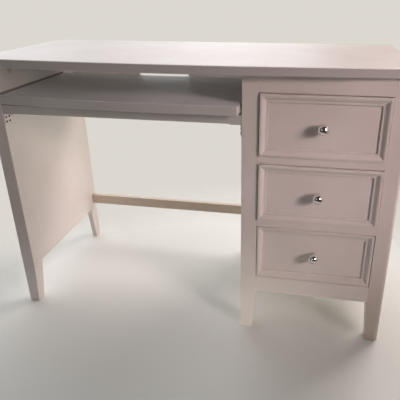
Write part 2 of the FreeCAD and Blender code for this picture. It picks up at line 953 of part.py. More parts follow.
bracket_front = front + s.bracket_inset
bracket_bottom = tray_rail_bottom - s.bracket_leaf
screw_spots = []


def bracket(label, x, hand):
    body = new_body(label)
    shelf = s.bracket_leaf - s.bracket_gauge
    section = [
        (as_size(0), 0),
        (s.bracket_gauge, 0),
        (s.bracket_gauge, shelf),
        (s.bracket_leaf, shelf),
        (s.bracket_leaf, s.bracket_leaf),
        (as_size(0), s.bracket_leaf),
    ]
    outline = [(across * hand, up) for across, up in section]
    pad(body, draw(sketch_on(body, "XZ_Plane"), outline), s.bracket_width, reverse=True)
    outer_bend = s.bracket_bend + s.bracket_gauge
    round_edges(body, s.bracket_bend, lambda edge: at(edge, x=s.bracket_gauge * hand, z=shelf))
    round_edges(body, outer_bend, lambda edge: at(edge, x=0, z=s.bracket_leaf))
    place(body, x, bracket_front, bracket_bottom)
    inward = "x" if hand > 0 else "-x"
    outward = "-x" if hand > 0 else "x"
    leaf_face = x + s.bracket_gauge * hand
    hole_radius = s.wood_screw_radius + s.screw_hole_clearance
    holes = []
    steps = (s.bracket_screw_margin, s.bracket_screw_margin + s.bracket_screw_spacing)
    for step in steps:
        y = bracket_front + step
        for rise in steps:
            z = bracket_bottom + rise
            holes.append(rod(f"{label}_leaf_hole", inward, (x, y, z), hole_radius, s.bracket_gauge))
            screw_spots.append((outward, (leaf_face, y, z)))
        shelf_x = x + (s.bracket_leaf - s.bracket_screw_margin) * hand
        shelf_z = bracket_bottom + shelf
        holes.append(rod(f"{label}_shelf_hole", "z", (shelf_x, y, shelf_z), hole_radius, s.bracket_gauge))
        screw_spots.append(("z", (shelf_x, y, shelf_z)))
    return node(drilled(label, body, holes), label)


def wood_screw(name, toward, start):
    """A pan-head screw whose head bears on the bracket and whose shank runs on into the wood."""
    body = new_body(name)
    head = -s.wood_screw_head_height
    shoulder = head / 2
    outline = [
        (0, head, (s.wood_screw_head_radius / 2, head + (shoulder - head) / 4)),
        (s.wood_screw_head_radius, shoulder),
        (s.wood_screw_head_radius, 0),
        (s.wood_screw_radius, 0),
        (s.wood_screw_radius, s.wood_screw_length),
        (0, s.wood_screw_length),
    ]
    revolve(body, draw(sketch_on(body, "XZ_Plane"), outline))
    body.Placement = FreeCAD.Placement(FreeCAD.Vector(), TURNS[toward])
    place(body, *start)
    return body


bracket("left_rail_bracket", knee_left, 1)
bracket("right_rail_bracket", knee_right, -1)
group("bracket_screws", [wood_screw("bracket_screw", toward, start) for toward, start in screw_spots])


# Every object has to have worked out, and every piece has to be whole, before anything is written

doc.recompute()
for item in doc.Objects:
    if "Invalid" in item.State or "Error" in item.State:
        raise RuntimeError(f"{item.Label} failed: {item.State}")
for item in nodes:
    if item.Shape.isNull() or not item.Shape.isValid() or not item.Shape.Solids:
        raise RuntimeError(f"{item.Label} has no sound shape")

os.makedirs("parts", exist_ok=True)
for item in nodes:
    item.Shape.exportStep(f"parts/{item.Label}.step")
print(f"{len(nodes)} pieces, {sum(len(item.Shape.Solids) for item in nodes)} solids")
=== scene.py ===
# %% [markdown]
# A white-painted writing desk with a pull-out keyboard tray and a pedestal of three drawers.
# Every board, leg, drawer and slide arrives from the imported CAD model at its real size, so this lesson never moves or
# reshapes them. It gives each one its finish, models the small fittings that need more form than the CAD has, and
# sets the desk in a plain studio. Loading the frame comes first.

import json
import math

import bpy
from mathutils import Euler, Matrix, Vector


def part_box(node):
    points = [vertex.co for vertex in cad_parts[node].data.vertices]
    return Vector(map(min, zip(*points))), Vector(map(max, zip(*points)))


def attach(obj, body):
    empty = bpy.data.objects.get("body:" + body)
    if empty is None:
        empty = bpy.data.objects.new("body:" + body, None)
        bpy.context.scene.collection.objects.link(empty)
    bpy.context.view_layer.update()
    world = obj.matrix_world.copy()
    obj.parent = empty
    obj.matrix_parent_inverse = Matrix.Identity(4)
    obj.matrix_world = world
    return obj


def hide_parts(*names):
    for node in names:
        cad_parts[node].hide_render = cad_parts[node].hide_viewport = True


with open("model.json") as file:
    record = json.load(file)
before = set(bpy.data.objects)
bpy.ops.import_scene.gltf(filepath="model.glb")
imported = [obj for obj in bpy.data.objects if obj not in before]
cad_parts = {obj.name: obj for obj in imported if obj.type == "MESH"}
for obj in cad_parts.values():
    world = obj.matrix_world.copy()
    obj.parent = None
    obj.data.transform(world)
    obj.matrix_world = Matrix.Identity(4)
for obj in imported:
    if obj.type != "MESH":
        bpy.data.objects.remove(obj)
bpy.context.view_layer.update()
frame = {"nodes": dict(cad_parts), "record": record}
desk_nodes = frame["nodes"]

# %% [markdown]
# Finishes are node trees. Small helpers keep them short to read. The first ones start a material with its Principled
# shader, and add a node and fill its sockets, where a number is typed in and a socket is linked. Values that are the
# same all over a surface go straight onto the shader, because that is what the export can carry.

# %% Helpers that build a node tree
def new_finish(name):
    """An empty node material with a Principled shader at its output."""
    finish = bpy.data.materials.new(name)
    finish.use_nodes = True
    tree = finish.node_tree
    tree.nodes.clear()
    shader = tree.nodes.new("ShaderNodeBsdfPrincipled")
    output = tree.nodes.new("ShaderNodeOutputMaterial")
    tree.links.new(shader.outputs["BSDF"], output.inputs["Surface"])
    return finish, tree, shader


def fill(tree, socket, value):
    """Links a socket to an input, or types a plain value into it."""
    if isinstance(value, bpy.types.NodeSocket):
        tree.links.new(value, socket)
    else:
        socket.default_value = value


def add(tree, kind, **inputs):
    """Adds a node and fills its inputs by name."""
    made = tree.nodes.new(kind)
    for name, value in inputs.items():
        fill(tree, made.inputs[name.replace("_", " ")], value)
    return made


def blend_colour(tree, factor, under, over):
    """Lays one colour over another by a factor from 0 to 1."""
    mix = tree.nodes.new("ShaderNodeMix")
    mix.data_type = "RGBA"
    for name, value in (("Factor_Float", factor), ("A_Color", under), ("B_Color", over)):
        socket = next(one for one in mix.inputs if one.identifier == name)
        fill(tree, socket, value)
    return next(one for one in mix.outputs if one.identifier == "Result_Color")


print("helpers for node trees are ready")

# %% [markdown]
# The other helpers stand for what a finish is made of: a noise, a value spread over another range, two values worked
# into one, and a surface lifted by a pattern. Every pattern is laid out on Object coordinates. All pieces sit at the
# origin, so a coordinate is the point's own place on the desk, in metres.

# %% Helpers for patterns
X_AXIS, Y_AXIS, Z_AXIS = 0, 1, 2
NOISE_LOW, NOISE_HIGH = 0.3, 0.7


def object_place(tree):
    """The point's place on the desk, which every pattern here is laid out on."""
    return tree.nodes.new("ShaderNodeTexCoord").outputs["Object"]


def stretched(tree, place, axis, across, along):
    """Coordinates for a pattern that runs along one axis: fine across it and long along it."""
    scale = [across, across, across]
    scale[axis] = along
    return add(tree, "ShaderNodeMapping", Vector=place, Scale=scale).outputs["Vector"]


def noise(tree, place, **inputs):
    """A noise from 0 to 1, most of it between NOISE_LOW and NOISE_HIGH."""
    return add(tree, "ShaderNodeTexNoise", Vector=place, **inputs).outputs["Fac"]


def spread(tree, value, low, high, to_low=0.0, to_high=1.0):
    """Maps a value from one range onto another, and stops at its ends."""
    mapped = add(tree, "ShaderNodeMapRange", Value=value)
    for name, number in (("From Min", low), ("From Max", high), ("To Min", to_low), ("To Max", to_high)):
        mapped.inputs[name].default_value = number
    return mapped.outputs["Result"]


def combine(tree, kind, operation, one, two):
    """Works two values into one, by a Math or a Vector Math node."""
    worked = tree.nodes.new(kind)
    worked.operation = operation
    fill(tree, worked.inputs[0], one)
    fill(tree, worked.inputs[1], two)
    return worked.outputs["Value"]


def product(tree, one, two):
    """Multiplies two patterns, so that the result shows only where both do."""
    return combine(tree, "ShaderNodeMath", "MULTIPLY", one, two)


def rounded_normal(tree, radius, samples):
    """The surface's normal, with every edge rounded by the Bevel node."""
    bevel = add(tree, "ShaderNodeBevel", Radius=radius)
    bevel.samples = samples
    return bevel.outputs["Normal"]


def lift(tree, shader, pattern, strength, distance):
    """Lifts the surface by a pattern, and returns the node so that a rounded normal can go under it."""
    relief = add(tree, "ShaderNodeBump", Strength=strength, Distance=distance, Height=pattern)
    tree.links.new(relief.outputs["Normal"], shader.inputs["Normal"])
    return relief


print("helpers for patterns are ready")

# %% [markdown]
# The desk is wood board under satin white paint, put on with a brush and worn by use. Some boards carry a mark of
# another tone, and most of these marks are painted light and shade: painted shade darkens the top's front edge, a
# painted highlight makes the tray's upper face a lighter, cooler white, a painted shadow draws a dark line on the ends
# of the tray's bay along the gap beside the tray, and painted shade darkens the rail's top under the tray. The right
# foot turns darker and browner towards the floor. A mark could be painted by hand on a texture. Here it is worked out
# from where a point lies and which way its face looks, so it stays sharp at any size and follows the CAD piece that it
# belongs to. Every mark takes the same two inputs, the tree and the place, so that one paint function can lay any of
# them.

# %% Where the marks on the paint lie
TRAY_BACK, TRAY_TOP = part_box("keyboard_tray")[1].yz
RAIL_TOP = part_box("tray_front_rail")[1].z
LINE_BELOW, LINE_ABOVE, LINE_SOFT = 0.002, 0.0035, 0.0015
MARK_FADES, MARK_FULL = 0.6, 0.9
FOOT_DARK_BELOW, FOOT_DARK_MOST = 0.28, 0.08


def parts_of(tree, vector):
    """The X, Y and Z of a vector."""
    return add(tree, "ShaderNodeSeparateXYZ", Vector=vector).outputs


def faces_toward(tree, axis, sign):
    """Tells the faces that look along an axis, one way or the other."""
    normal = tree.nodes.new("ShaderNodeNewGeometry").outputs["Normal"]
    return spread(tree, parts_of(tree, normal)[axis], sign * MARK_FADES, sign * MARK_FULL)


def upper_faces(tree, place):
    """Tells the faces that look up."""
    return faces_toward(tree, "Z", 1)


def front_faces(tree, place):
    """Tells the faces that look forward."""
    return faces_toward(tree, "Y", -1)


def higher_than(tree, place, level):
    """Tells what lies above a level."""
    return spread(tree, parts_of(tree, place)["Z"], level - LINE_SOFT, level)


def near_floor(tree, place):
    """Tells what lies low on a piece, and more of it towards the floor."""
    return spread(tree, parts_of(tree, place)["Z"], FOOT_DARK_BELOW, FOOT_DARK_MOST)


def rail_top_shade(tree, place):
    """The rail's upper face and front arris, which take painted shade for the shadow under the tray."""
    return higher_than(tree, place, RAIL_TOP - LINE_BELOW)


def tray_gap_shadow(tree, place):
    """A line of painted shadow at the height of the tray's upper edge, as far back as the tray goes."""
    spot = parts_of(tree, place)
    before = spread(tree, spot["Y"], TRAY_BACK - LINE_SOFT, TRAY_BACK, 1.0, 0.0)
    below = spread(tree, spot["Z"], TRAY_TOP + LINE_ABOVE, TRAY_TOP + LINE_ABOVE + LINE_SOFT, 1.0, 0.0)
    return product(tree, product(tree, higher_than(tree, place, TRAY_TOP - LINE_BELOW), below), before)


def gap_shadow_on_left_end(tree, place):
    """The tray's painted shadow line on the left end of its bay, which looks right."""
    return product(tree, tray_gap_shadow(tree, place), faces_toward(tree, "X", 1))


def gap_shadow_on_right_end(tree, place):
    """The tray's painted shadow line on the right end of its bay, which looks left."""
    return product(tree, tray_gap_shadow(tree, place), faces_toward(tree, "X", -1))


print("tray top at", round(TRAY_TOP, 4), "m, rail top at", round(RAIL_TOP, 4), "m")

# %% [markdown]
# The paint's tone drifts a little from place to place, brush strokes run the long way of each board, and the arrises
# are rubbed through to a tan undercoat. The Bevel node finds those arrises: where the rounded normal leaves the flat
# one, an edge is near. A rounded normal also softens the edge in the light, as a coat of paint does. One function
# makes every paint, with or without a mark.

# %% Satin paint
UNDERCOAT_TAN = (0.33, 0.235, 0.17, 1)
ARRIS_RADIUS = 0.0012
RUB_RADIUS = 0.0022
PAINT_BEVEL_SAMPLES = 6
STROKE_ACROSS, STROKE_ALONG = 420, 9
DRIFT_FRESH, DRIFT_AGED = 0.35, 0.72
EDGE_NONE, EDGE_FULL = 0.985, 0.80
HANDLED_LITTLE, HANDLED_MUCH = 0.50, 0.66
MOST_RUBBED = 0.75
PAINT_SMOOTH, PAINT_ROUGH = 0.27, 0.40


def satin_paint(name, brush_axis, fresh, aged, mark=None, mark_colour=None):
    """Brushed satin paint with strokes along an axis and rubbed arrises. A mark is a pattern laid over it."""
    finish, tree, shader = new_finish(name)
    place = object_place(tree)
    strokes = noise(tree, stretched(tree, place, brush_axis, STROKE_ACROSS, STROKE_ALONG), Scale=1, Detail=3)
    drift = noise(tree, place, Scale=3.2, Detail=4, Roughness=0.55)
    handling = noise(tree, place, Scale=38, Detail=5, Roughness=0.62)

    paint = blend_colour(tree, spread(tree, drift, DRIFT_FRESH, DRIFT_AGED), fresh, aged)
    # Most marks lay painted light or shade over the paint.
    if mark:
        paint = blend_colour(tree, mark(tree, place), paint, mark_colour)

    flat = tree.nodes.new("ShaderNodeNewGeometry").outputs["Normal"]
    rounded = rounded_normal(tree, RUB_RADIUS, PAINT_BEVEL_SAMPLES)
    lean = combine(tree, "ShaderNodeVectorMath", "DOT_PRODUCT", flat, rounded)
    edge = spread(tree, lean, EDGE_NONE, EDGE_FULL)
    patchy = spread(tree, handling, HANDLED_LITTLE, HANDLED_MUCH, 0.0, MOST_RUBBED)
    rubbed = product(tree, edge, patchy)
    fill(tree, shader.inputs["Base Color"], blend_colour(tree, rubbed, paint, UNDERCOAT_TAN))

    rough = spread(tree, strokes, NOISE_LOW, NOISE_HIGH, PAINT_SMOOTH, PAINT_ROUGH)
    fill(tree, shader.inputs["Roughness"], rough)
    relief = lift(tree, shader, strokes, strength=0.22, distance=0.0002)
    tree.links.new(rounded_normal(tree, ARRIS_RADIUS, PAINT_BEVEL_SAMPLES), relief.inputs["Normal"])
    shader.inputs["Specular IOR Level"].default_value = 0.5
    shader.inputs["Coat Weight"].default_value = 0.12
    shader.inputs["Coat Roughness"].default_value = 0.3
    return finish


print("satin paint can be mixed")

# %% [markdown]
# Most boards share three white paints, one for each direction of the brush. The rear stretcher takes a warmer, tanner
# paint, and the tray and the rail under it take a darker grey, which is painted shade. The paints with a mark are mixed
# for the boards that carry it.

# %% Mix the paints
WHITES = ((0.79, 0.745, 0.715, 1), (0.69, 0.635, 0.595, 1))
# A darker grey of painted shade, for the tray and the rail under the top.
SHADE_GREYS = ((0.62, 0.61, 0.59, 1), (0.55, 0.53, 0.50, 1))
YELLOWS = ((0.72, 0.60, 0.49, 1), (0.61, 0.49, 0.385, 1))
# Painted shade for the top's front faces.
TOP_EDGE_SHADE = (0.56, 0.545, 0.53, 1)
# Painted light for the tray's upper face.
TRAY_TOP_LIGHT = (0.88, 0.92, 0.93, 1)
# Painted shade for the rail's top under the tray.
RAIL_TOP_SHADE = (0.12, 0.10, 0.09, 1)
# Darker and browner, for the right foot towards the floor.
FOOT_DARK_BROWN = (0.56, 0.49, 0.425, 1)
# Painted shadow for the gap beside the tray.
GAP_SHADOW_DARK = (0.27, 0.23, 0.205, 1)

paints = [satin_paint(f"satin_paint_{way}", axis, *WHITES) for axis, way in enumerate("xyz")]
OWN_PAINT = {
    # The rear stretcher's paint is warmer and tanner than the rest.
    "tan_toned": satin_paint("tan_toned_paint", X_AXIS, *YELLOWS),
    # Painted shade: the top's front faces are darker than the rest of the top.
    "top": satin_paint("top_paint_shaded_edge", X_AXIS, *WHITES, front_faces, TOP_EDGE_SHADE),
    # Painted light and shade: the tray's upper face is a lighter, cooler white, its other faces a darker grey.
    "tray": satin_paint("tray_paint_lit_top", X_AXIS, *SHADE_GREYS, upper_faces, TRAY_TOP_LIGHT),
    # Painted shade: the rail's top and front arris are nearly black, for the shadow gap under the tray.
    "rail": satin_paint("rail_paint_shaded_top", X_AXIS, *SHADE_GREYS, rail_top_shade, RAIL_TOP_SHADE),
    # The right foot turns darker and browner towards the floor.
    "foot": satin_paint("foot_paint_darker_low", Z_AXIS, *WHITES, near_floor, FOOT_DARK_BROWN),
    # Painted shadow: a dark line on both ends of the tray's bay, along the gap beside the tray.
    "left_end": satin_paint("paint_gap_shadow_left", Z_AXIS, *WHITES, gap_shadow_on_left_end, GAP_SHADOW_DARK),
    "right_end": satin_paint("paint_gap_shadow_right", Z_AXIS, *WHITES, gap_shadow_on_right_end, GAP_SHADOW_DARK),
}
print("paints:", [finish.name for finish in paints + list(OWN_PAINT.values())])

# %% [markdown]
# The drawer boxes and their runners are bare planed pine: straw-coloured early wood between darker late-wood lines
# that run along the board. A Wave texture in bands, bent by noise, gives the lines. Long thin noise adds the fibres,
# which also lift the surface a little.

# %% Planed pine
PINE_PALE = (0.74, 0.54, 0.33, 1)
PINE_LINE = (0.52, 0.31, 0.14, 1)
RINGS_ACROSS, RINGS_ALONG = 1.0, 0.07
FIBRES_ACROSS, FIBRES_ALONG = 900, 24
EARLY_WOOD, LATE_WOOD, LINE_DEPTH = 0.45, 1.0, 0.7
FIBRE_PALE, FIBRE_DARK, FIBRE_DEPTH = 0.45, 0.75, 0.35
PINE_SMOOTH, PINE_ROUGH = 0.48, 0.68
PINE_BEVEL_SAMPLES = 4


def planed_pine(name, grain_axis):
    """Bare pine whose grain runs along an axis."""
    finish, tree, shader = new_finish(name)
    place = object_place(tree)
    along = stretched(tree, place, grain_axis, RINGS_ACROSS, RINGS_ALONG)
    growth = add(tree, "ShaderNodeTexWave", Vector=along, Scale=46, Distortion=7.5, Detail=3, Detail_Scale=0.9)
    growth.bands_direction = "DIAGONAL"
    fibres = noise(tree, stretched(tree, place, grain_axis, FIBRES_ACROSS, FIBRES_ALONG), Scale=1, Detail=3)
    lines = spread(tree, growth.outputs["Fac"], EARLY_WOOD, LATE_WOOD, 0.0, LINE_DEPTH)
    grain = blend_colour(tree, lines, PINE_PALE, PINE_LINE)
    shade = spread(tree, fibres, FIBRE_PALE, FIBRE_DARK, 0.0, FIBRE_DEPTH)
    fill(tree, shader.inputs["Base Color"], blend_colour(tree, shade, grain, PINE_LINE))
    fill(tree, shader.inputs["Roughness"], spread(tree, fibres, NOISE_LOW, NOISE_HIGH, PINE_SMOOTH, PINE_ROUGH))
    relief = lift(tree, shader, fibres, strength=0.3, distance=0.0002)
    tree.links.new(rounded_normal(tree, ARRIS_RADIUS, PINE_BEVEL_SAMPLES), relief.inputs["Normal"])
    return finish


pines = [planed_pine(f"planed_pine_{way}", axis) for axis, way in enumerate("xyz")]
print("pines:", [finish.name for finish in pines])

# %% [markdown]
# The drawer bottoms and the pedestal's back are thin fibreboard with a pale printed face. Up close it is a mat of
# short fibres, so two noises of different size make the speckle, and the finer one gives the surface its slight tooth.

# %% Pale fibreboard
BOARD_PALE = (0.70, 0.655, 0.58, 1)
BOARD_FLECK = (0.50, 0.44, 0.36, 1)
CLOUD_PALE, CLOUD_DARK, CLOUD_DEPTH = 0.35, 0.75, 0.35
FLECK_NONE, FLECK_FULL, FLECK_DEPTH = 0.56, 0.72, 0.6
BOARD_SMOOTH, BOARD_ROUGH = 0.5, 0.66


def pale_fibreboard():
    """Thin board with a pale, faintly speckled face."""
    finish, tree, shader = new_finish("pale_fibreboard")
    place = object_place(tree)
    cloud = noise(tree, place, Scale=14, Detail=4)
    fleck = noise(tree, place, Scale=620, Detail=2)
    mottle = spread(tree, cloud, CLOUD_PALE, CLOUD_DARK, 0.0, CLOUD_DEPTH)
    face = blend_colour(tree, mottle, BOARD_PALE, BOARD_FLECK)
    flecks = spread(tree, fleck, FLECK_NONE, FLECK_FULL, 0.0, FLECK_DEPTH)
    fill(tree, shader.inputs["Base Color"], blend_colour(tree, flecks, face, BOARD_FLECK))
    fill(tree, shader.inputs["Roughness"], spread(tree, fleck, NOISE_LOW, NOISE_HIGH, BOARD_SMOOTH, BOARD_ROUGH))
    lift(tree, shader, fleck, strength=0.12, distance=0.0001)
    return finish


fibreboard = pale_fibreboard()
print("board:", fibreboard.name)

# %% [markdown]
# The knobs are polished chrome, nearly a mirror, with a faint film of fingerprints that the roughness shows most. The
# rim of a ball mirrors what lies behind it, which is bright in this studio and dark in the photograph, so the tint at
# the rim is darker than real plating's.

# %% Polished chrome
CHROME_BRIGHT = (0.90, 0.89, 0.88, 1)
CHROME_FILM = (0.78, 0.76, 0.74, 1)
CHROME_RIM = (0.45, 0.42, 0.40, 1)
FILM_NONE, FILM_FULL = 0.5, 0.75
FILM_THIN, FILM_THICK = 0.4, 0.8
CHROME_SMOOTH, CHROME_ROUGH = 0.035, 0.14


def polished_chrome():
    """Mirror plating with fingerprints in its roughness."""
    finish, tree, shader = new_finish("mirror_chrome")
    film = noise(tree, object_place(tree), Scale=190, Detail=4)
    touched = spread(tree, film, FILM_NONE, FILM_FULL)
    fill(tree, shader.inputs["Base Color"], blend_colour(tree, touched, CHROME_BRIGHT, CHROME_FILM))
    fill(tree, shader.inputs["Roughness"], spread(tree, film, FILM_THIN, FILM_THICK, CHROME_SMOOTH, CHROME_ROUGH))
    shader.inputs["Metallic"].default_value = 1.0
    shader.inputs["Specular Tint"].default_value = CHROME_RIM
    return finish


chrome = polished_chrome()
print("knobs:", chrome.name)

# %% [markdown]
# Knob screws, cams and pins are bright zinc, whose plating has soft spangles of lighter and darker grey. A smooth
# Voronoi texture gives cells like them, and a finer noise rubs them here and there.

# %% Bright zinc
ZINC_LIGHT = (0.72, 0.71, 0.70, 1)
ZINC_DARK = (0.46, 0.46, 0.47, 1)
CELL_MIDDLE, CELL_RIM = 0.1, 0.8
ZINC_SMOOTH, ZINC_ROUGH = 0.22, 0.42


def bright_zinc():
    """Zinc plating with soft spangles."""
    finish, tree, shader = new_finish("bright_zinc")
    place = object_place(tree)
    spangle = add(tree, "ShaderNodeTexVoronoi", Vector=place, Scale=520)
    spangle.feature = "SMOOTH_F1"
    rub = noise(tree, place, Scale=260, Detail=4)
    cells = spread(tree, spangle.outputs["Distance"], CELL_MIDDLE, CELL_RIM)
    fill(tree, shader.inputs["Base Color"], blend_colour(tree, cells, ZINC_LIGHT, ZINC_DARK))
    fill(tree, shader.inputs["Roughness"], spread(tree, rub, NOISE_LOW, NOISE_HIGH, ZINC_SMOOTH, ZINC_ROUGH))
    shader.inputs["Metallic"].default_value = 1.0
    return finish


zinc = bright_zinc()
print("plating:", zinc.name)

# %% [markdown]
# The slides are rolled steel, with drawn lines along their length and a smear of grease. The lines are a noise
# stretched along the way the tray runs, and they lift the surface too. The grease only changes the roughness.

# %% Rolled steel
STEEL_LIGHT = (0.62, 0.62, 0.63, 1)
STEEL_DARK = (0.40, 0.40, 0.42, 1)
DRAWN_ACROSS, DRAWN_ALONG = 1500, 12
GREASE_THIN, GREASE_THICK = 0.35, 0.7
STEEL_SMOOTH, STEEL_ROUGH = 0.2, 0.45


def rolled_steel():
    """Slide steel, drawn along its length and smeared with grease."""
    finish, tree, shader = new_finish("rolled_steel")
    place = object_place(tree)
    drawn = noise(tree, stretched(tree, place, Y_AXIS, DRAWN_ACROSS, DRAWN_ALONG), Scale=1, Detail=3)
    grease = noise(tree, place, Scale=55, Detail=4)
    streak = spread(tree, drawn, NOISE_LOW, NOISE_HIGH)
    fill(tree, shader.inputs["Base Color"], blend_colour(tree, streak, STEEL_LIGHT, STEEL_DARK))
    fill(tree, shader.inputs["Roughness"], spread(tree, grease, GREASE_THIN, GREASE_THICK, STEEL_SMOOTH, STEEL_ROUGH))
    lift(tree, shader, drawn, strength=0.2, distance=0.0001)
    shader.inputs["Metallic"].default_value = 1.0
    return finish


steel = rolled_steel()
print("slides:", steel.name)

# %% [markdown]
# The brackets are painted over with the desk, but the screws in them are blackened steel, worn to a browner grey in
# spots. Worn spots are smoother, so the roughness falls where the noise rises.

# %% Blackened steel
BLACKENED = (0.06, 0.052, 0.045, 1)
BLACKENED_WORN = (0.15, 0.125, 0.10, 1)
WORN_NONE, WORN_FULL = 0.5, 0.7
BLACK_ROUGH, BLACK_SMOOTH = 0.55, 0.38


def blackened_steel():
    """Black-oxide steel, worn in spots."""
    finish, tree, shader = new_finish("blackened_steel")
    wear = noise(tree, object_place(tree), Scale=420, Detail=4)
    worn = spread(tree, wear, WORN_NONE, WORN_FULL)
    fill(tree, shader.inputs["Base Color"], blend_colour(tree, worn, BLACKENED, BLACKENED_WORN))
    fill(tree, shader.inputs["Roughness"], spread(tree, wear, NOISE_LOW, NOISE_HIGH, BLACK_ROUGH, BLACK_SMOOTH))
    shader.inputs["Metallic"].default_value = 0.6
    return finish


black = blackened_steel()
print("bracket screws:", black.name)

# %% [markdown]
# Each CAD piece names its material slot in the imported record. Wood takes the variant whose strokes or grain run along
# the piece's longest side, as a painter and a joiner both work. The mesh itself is left alone.

# %% Give every CAD piece its finish
SLOT_FINISH = {
    "white_paint": paints,
    "drawer_pine": pines,
    "hardboard": [fibreboard] * 3,
    "polished_chrome": [chrome] * 3,
    "zinc_steel": [zinc] * 3,
    "slide_steel": [steel] * 3,
}
OWN_FINISH = {
    "rear_stretcher": OWN_PAINT["tan_toned"],
    "desk_top": OWN_PAINT["top"],
    "keyboard_tray": OWN_PAINT["tray"],
    "tray_front_rail": OWN_PAINT["rail"],
    "left_end_panel": OWN_PAINT["left_end"],
    "left_front_leg": OWN_PAINT["left_end"],
    "pedestal_left_panel": OWN_PAINT["right_end"],
    "pedestal_left_front_leg": OWN_PAINT["right_end"],
    "pedestal_right_front_leg": OWN_PAINT["foot"],
    "left_rail_bracket": paints[Y_AXIS],
    "right_rail_bracket": paints[Y_AXIS],
}


def longest_axis(node):
    """The axis along which a CAD piece is longest."""
    low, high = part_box(node)
    sides = list(high - low)
    return sides.index(max(sides))


for subpart in frame["record"]["subparts"]:
    node = subpart["node"]
    piece = desk_nodes[node]
    finish = OWN_FINISH.get(node) or SLOT_FINISH[subpart["material_slot"]][longest_axis(node)]
    if not piece.material_slots:
        piece.data.materials.append(finish)
    for holder in piece.material_slots:
        holder.material = finish

# %% [markdown]
# New pieces are modelled as by hand: a primitive, then edit mode. An operator works on whatever is selected, so each
# piece starts with nothing selected, and faces are picked in code by where they face.

# %% Helpers for selecting
FACING = 0.9


def start_clean():
    """Drops the selection, so that the next operator works on its own piece alone."""
    bpy.ops.object.select_all(action="DESELECT")


def select_only(piece):
    """Selects one piece and makes it the active one."""
    start_clean()
    piece.select_set(True)
    bpy.context.view_layer.objects.active = piece


def pick_faces(piece, wanted):
    """Enters edit mode with only the wanted faces selected."""
    bpy.ops.object.mode_set(mode="EDIT")
    bpy.ops.mesh.select_mode(type="FACE")
    bpy.ops.mesh.select_all(action="DESELECT")
    bpy.ops.object.mode_set(mode="OBJECT")
    for face in piece.data.polygons:
        face.select = wanted(face)
    bpy.ops.object.mode_set(mode="EDIT")


def looks_up(face):
    """Tells a face that looks up."""
    return face.normal.z > FACING


def looks_down(face):
    """Tells a face that looks down."""
    return face.normal.z < -FACING


def leave_edit():
    """Goes back to object mode."""
    bpy.ops.object.mode_set(mode="OBJECT")


print("helpers for selecting are ready")

# %% [markdown]
# What repeats is modelled once at the origin, facing up, and copied to each place with a mesh of its own. A finished
# piece has its place, turn and size in its mesh, so that its finish lies on the desk's coordinates like all the others.

# %% Helpers for whole pieces
SMOOTH_ANGLE = math.radians(32)


def settle(piece, name):
    """Names a piece and moves its place, turn and size into its mesh."""
    piece.name = name
    piece.data.name = name
    bpy.ops.object.transform_apply(location=True, rotation=True, scale=True)
    return piece


def cut_with(piece, cutter):
    """Cuts a piece with another by a Boolean modifier and applies it."""
    select_only(piece)
    boolean = piece.modifiers.new("cut", "BOOLEAN")
    boolean.operation = "DIFFERENCE"
    boolean.solver = "EXACT"
    boolean.object = cutter
    bpy.ops.object.modifier_apply(modifier=boolean.name)


def remove(piece):
    """Deletes a piece that has done its work."""
    select_only(piece)
    bpy.ops.object.delete()


def copy_to(piece, name, spot, outward, turn):
    """A copy with its own mesh, turned about its own axis, faced outward and set at a spot."""
    select_only(piece)
    bpy.ops.object.duplicate()
    made = bpy.context.object
    faced = Vector(outward).to_track_quat("Z", "Y").to_matrix().to_4x4()
    made.matrix_world = Matrix.Translation(spot) @ faced @ Matrix.Rotation(turn, 4, "Z")
    return settle(made, name)


def join_all(made, name):
    """Joins copies into one piece."""
    select_only(made[0])
    for piece in made:
        piece.select_set(True)
    bpy.ops.object.join()
    return settle(bpy.context.object, name)


def finish_piece(piece, finish, body):
    """Smooths a piece, gives it its finish and lets it ride on its body."""
    select_only(piece)
    bpy.ops.object.shade_smooth_by_angle(angle=SMOOTH_ANGLE)
    piece.data.materials.clear()
    piece.data.materials.append(finish)
    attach(piece, body)
    print(piece.name, "triangles:", sum(len(face.vertices) - 2 for face in piece.data.polygons))


print("helpers for whole pieces are ready")

# %% [markdown]
# Cross-head screws hold the brackets and the knobs, and the cams have the same recess. It is a bar that narrows
# downwards, cut into the head once each way.

# %% Cut a cross recess
RECESS_TAPER = (0.45, 0.6, 1)


def cross_recess(piece, length, width, depth, top):
    """Cuts a cross for a driver into the top of a piece."""
    start_clean()
    bpy.ops.mesh.primitive_cube_add(size=1, location=(0, 0, top), scale=(length, width, 2 * depth))
    bar = settle(bpy.context.object, "recess_bar")
    pick_faces(bar, looks_down)
    bpy.ops.transform.resize(value=RECESS_TAPER)
    leave_edit()
    cut_with(piece, bar)
    select_only(bar)
    bpy.ops.transform.rotate(value=math.radians(90), orient_axis="Z", center_override=(0, 0, 0))
    bpy.ops.object.transform_apply(location=True, rotation=True, scale=True)
    cut_with(piece, bar)
    remove(bar)


print("recess tapers to", RECESS_TAPER)

# %% [markdown]
# A screw starts as a short cylinder, its head, with its shoulder at the origin and the head facing up. The top rim is
# bevelled into a pan, the underside is inset and extruded for the shank, and the end is scaled down to a point.

# %% Model the two screws
SCREW_SIDES = 32
PAN_BEVEL_SHARE = 0.62
TIP_TAPER = (0.2, 0.2, 1)
RECESS_LENGTH_SHARE = 1.15
RECESS_WIDTH_SHARE = 0.26
RECESS_DEPTH_SHARE = 0.72
KNOB_BOLT_HEAD = 0.0026


